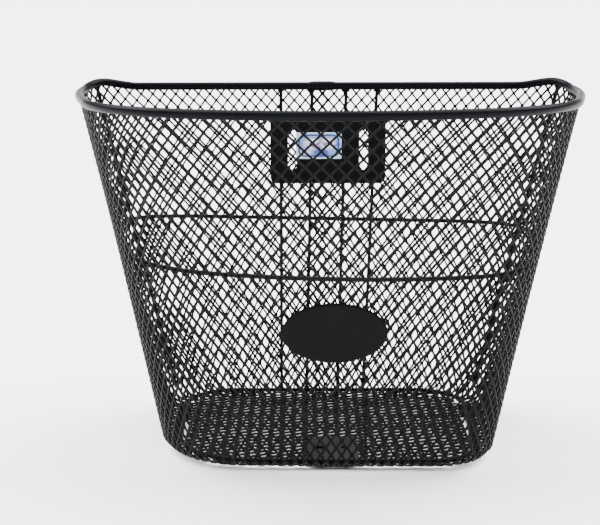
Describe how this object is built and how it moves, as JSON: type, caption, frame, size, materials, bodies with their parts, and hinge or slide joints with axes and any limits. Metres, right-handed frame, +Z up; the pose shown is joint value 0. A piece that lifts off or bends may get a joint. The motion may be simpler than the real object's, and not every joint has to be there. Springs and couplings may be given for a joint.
{
  "type": "handlebar basket",
  "caption": "Tapered wire-mesh handlebar basket, D-shaped from above, with a round rim hoop, bent support wires, a slotted mount plate and an oval badge.",
  "frame": {"origin": "under the middle of the basket's overall box, at the height of its lowest wires", "axes": "+X across the width, the badge side (front) faces -Y and the handlebar side +Y, +Z up"},
  "size_m": [0.3716, 0.2708, 0.2592],
  "materials": {
    "mesh_coat": "satin black powder coat on expanded steel mesh",
    "rim_coat": "glossier black powder coat",
    "wire_coat": "satin black powder coat",
    "plate_coat": "satin black powder coat on flat sheet",
    "label_print": null,
    "badge_plastic": "fine matt grain"
  },
  "bodies": {
    "root": {"wall_mesh": "mesh_coat", "floor_mesh": "mesh_coat", "rim_tube": "rim_coat", "rim_sleeve": "rim_coat", "mid_ring": "wire_coat", "floor_ring": "wire_coat", "rear_wire_1": "wire_coat", "rear_wire_2": "wire_coat", "rear_wire_3": "wire_coat", "rear_wire_4": "wire_coat", "corner_stay_left": "wire_coat", "corner_stay_right": "wire_coat", "mount_plate": "plate_coat", "label": "label_print", "badge": "badge_plastic", "floor_plate": "plate_coat"}
  },
  "joints": []
}
